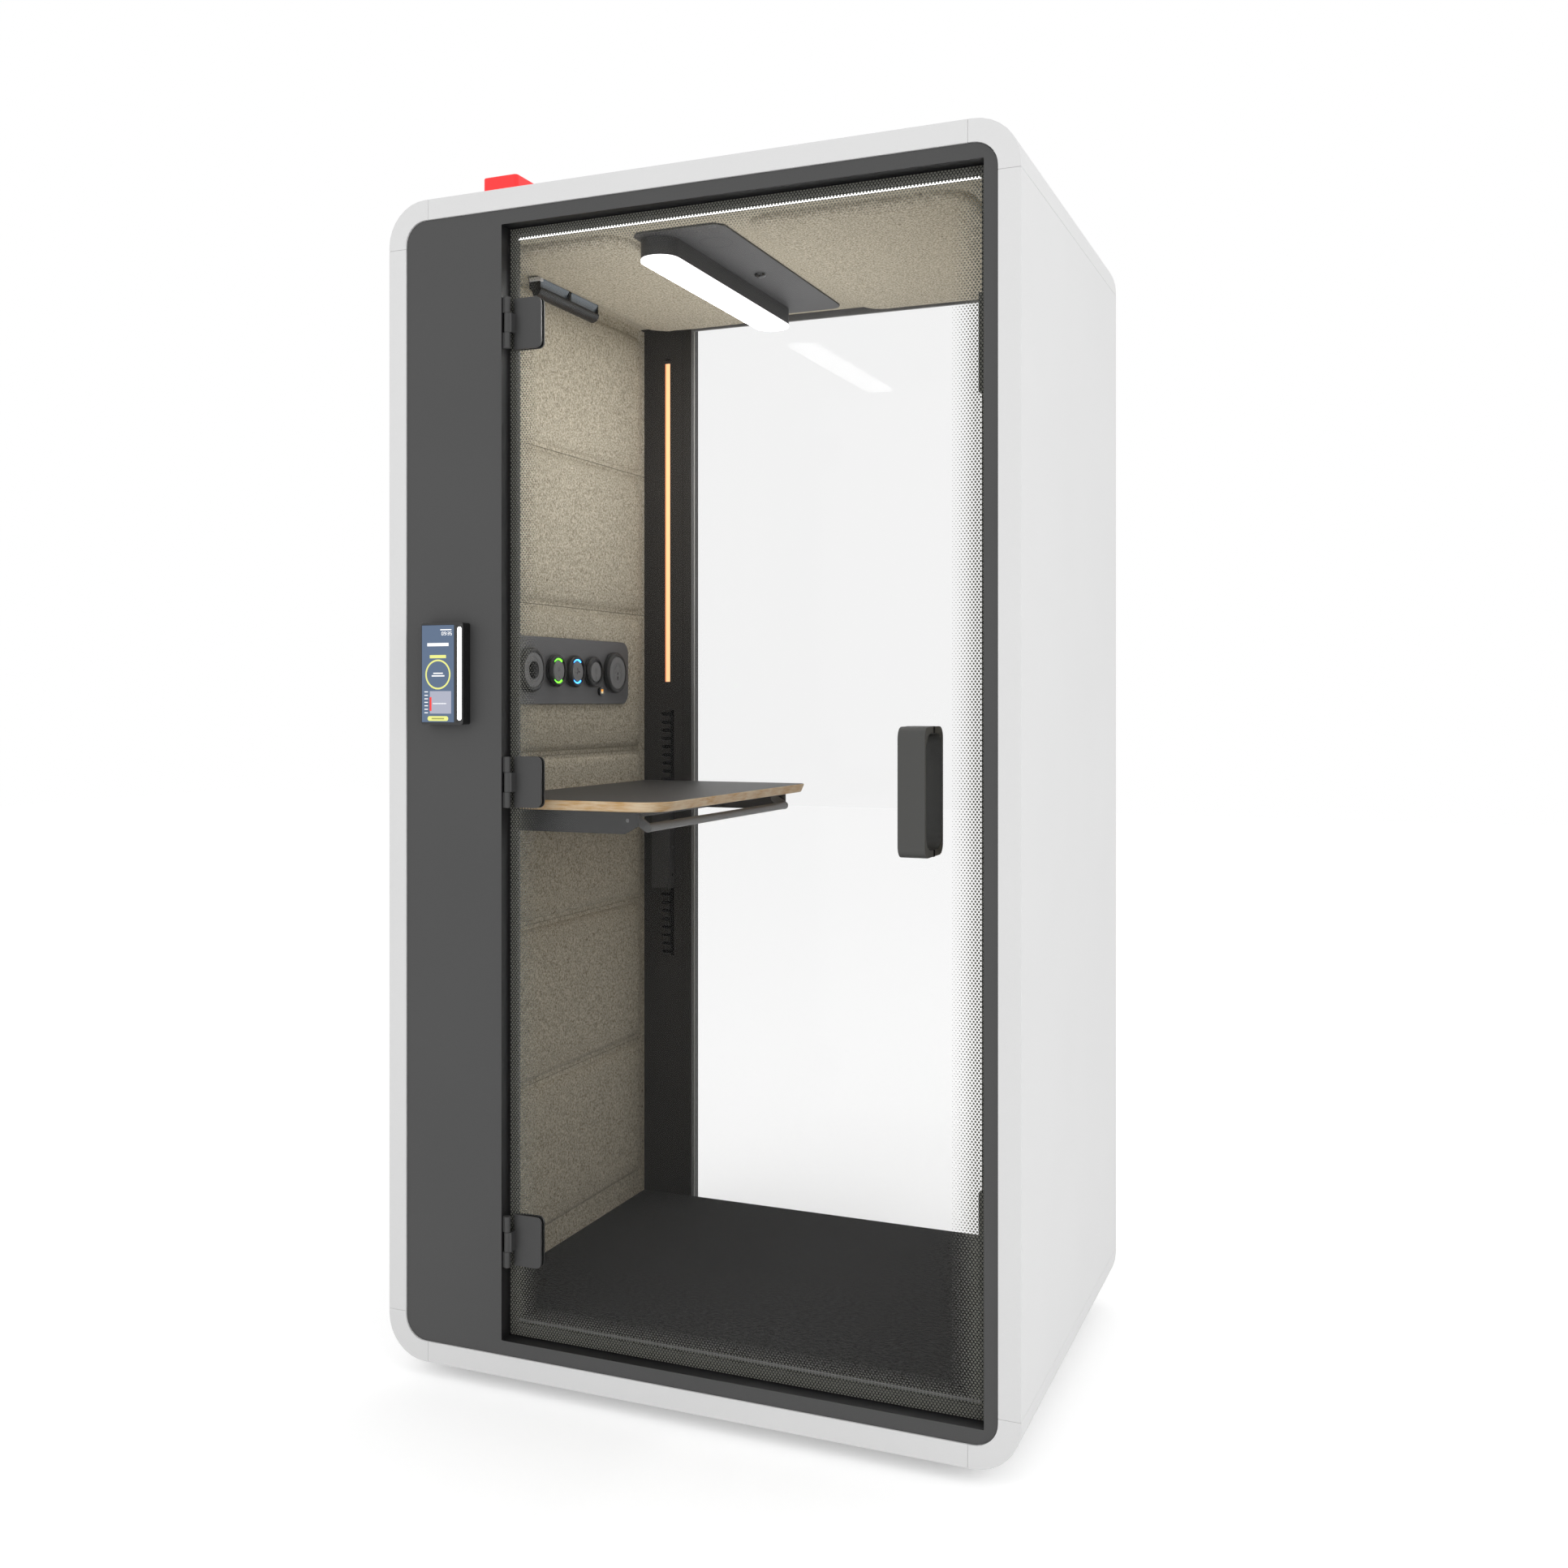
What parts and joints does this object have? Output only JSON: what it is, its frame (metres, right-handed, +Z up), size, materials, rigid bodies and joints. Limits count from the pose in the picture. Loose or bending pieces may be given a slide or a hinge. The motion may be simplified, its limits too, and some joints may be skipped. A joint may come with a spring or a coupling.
{
  "type": "acoustic office pod",
  "caption": "Free-standing acoustic office pod: pale rounded shell, dark frame, hinged glass door, glass back, padded walls, hanging desk, ceiling lamp and booking tablet.",
  "frame": {"origin": "on the floor, below the middle of the pod's bounding box", "axes": "+Z up, +X to the right of a person who faces the door, the door faces -Y"},
  "size_m": [1.27, 0.902, 2.349],
  "materials": {
    "shell": "pale grey laminate on sandwich board, satin",
    "frame": "dark grey fine powder coat, matt",
    "glass": "clear safety glass with a black dot border",
    "rubber": "black rubber",
    "steel": "dark grey powder coat, satin",
    "upholstery": "beige speckled wool-like cloth over foam",
    "ceiling_cloth": "board covered with beige speckled cloth",
    "carpet": "short dark grey carpet",
    "board": "raw plywood, hidden",
    "desk_top": "dark matt laminate on plywood with a clear edge",
    "plastic": "black satin plastic",
    "control_plate": "mid grey fine powder coat, matt",
    "module": "black rim and grey face",
    "lamp": "white opal light cover",
    "warm_lamp": "warm light strip",
    "red_lamp": "red light cover",
    "screen": "lit display behind glass"
  },
  "bodies": {
    "cabin": {"shell_roof": "shell", "shell_base": "shell", "shell_left": "shell", "shell_right": "shell", "shell_corner_lower_left": "shell", "shell_corner_lower_right": "shell", "shell_corner_upper_left": "shell", "shell_corner_upper_right": "shell", "foot_front_left": "rubber", "foot_front_right": "rubber", "foot_back_left": "rubber", "foot_back_right": "rubber", "front_frame": "frame", "back_frame": "frame", "column_light_strip": "warm_lamp", "back_glass": "glass", "door_seal": "rubber", "hinge_lower_frame_leaf": "steel", "hinge_middle_frame_leaf": "steel", "hinge_upper_frame_leaf": "steel", "tablet_body": "plastic", "tablet_screen": "screen", "tablet_light_bar": "lamp", "roof_status_light": "red_lamp", "floor_base": "board", "carpet": "carpet", "left_wall_board": "board", "left_wall_upholstery": "upholstery", "right_wall_upholstery": "upholstery", "ceiling_board": "ceiling_cloth", "ceiling_pad_left": "upholstery", "ceiling_pad_right": "upholstery", "front_light_strip": "lamp", "lamp_console": "frame", "lamp_housing": "frame", "lamp_diffuser": "lamp", "motion_sensor": "plastic", "air_vent": "plastic", "blower_housing": "plastic", "control_plate": "control_plate", "lens_module": "module", "charging_module": "module"},
    "door": {"door_glass": "glass", "hinge_lower_door_leaf": "steel", "hinge_lower_rear_plate": "steel", "hinge_middle_door_leaf": "steel", "hinge_middle_rear_plate": "steel", "hinge_upper_door_leaf": "steel", "hinge_upper_rear_plate": "steel", "handle_outer": "steel", "handle_inner": "steel"},
    "desk": {"desk_top": "desk_top", "desk_frame": "steel", "desk_carriage_front": "steel", "desk_carriage_back": "steel"},
    "release_bar": {"desk_release_bar": "steel"},
    "light_knob": {"light_knob": "module"},
    "fan_knob": {"fan_knob": "module"},
    "mood_knob": {"mood_knob": "module"},
    "blower": {"blower_wheel": "plastic"}
  },
  "joints": [
    {"name": "door_swing", "type": "hinge", "parent": "cabin", "child": "door", "pos_m": [-0.3695, -0.417, 1.164], "axis": [0, 0, -1], "range_deg": [0, 105]},
    {"name": "desk_height", "type": "slide", "parent": "cabin", "child": "desk", "axis": [0, 0, 1], "range_m": [-0.15, 0.15]},
    {"name": "desk_release", "type": "hinge", "parent": "desk", "child": "release_bar", "pos_m": [-0.146, 0.02, 1.092], "axis": [0, -1, 0], "range_deg": [0, 18], "stiffness_Nm_per_rad": 1.5, "springref_deg": -17.19},
    {"name": "light_knob_turn", "type": "hinge", "parent": "cabin", "child": "light_knob", "pos_m": [-0.481, -0.0465, 1.3855], "axis": [1, 0, 0], "range_deg": [-135, 135]},
    {"name": "fan_knob_turn", "type": "hinge", "parent": "cabin", "child": "fan_knob", "pos_m": [-0.481, 0.035, 1.3855], "axis": [1, 0, 0], "range_deg": [-135, 135]},
    {"name": "mood_knob_turn", "type": "hinge", "parent": "cabin", "child": "mood_knob", "pos_m": [-0.481, 0.1165, 1.3855], "axis": [1, 0, 0], "range_deg": [-135, 135]},
    {"name": "blower_spin", "type": "hinge", "parent": "cabin", "child": "blower", "pos_m": [-0.569, 0.013, 2.124], "axis": [0, 1, 0], "continuous": true}
  ]
}
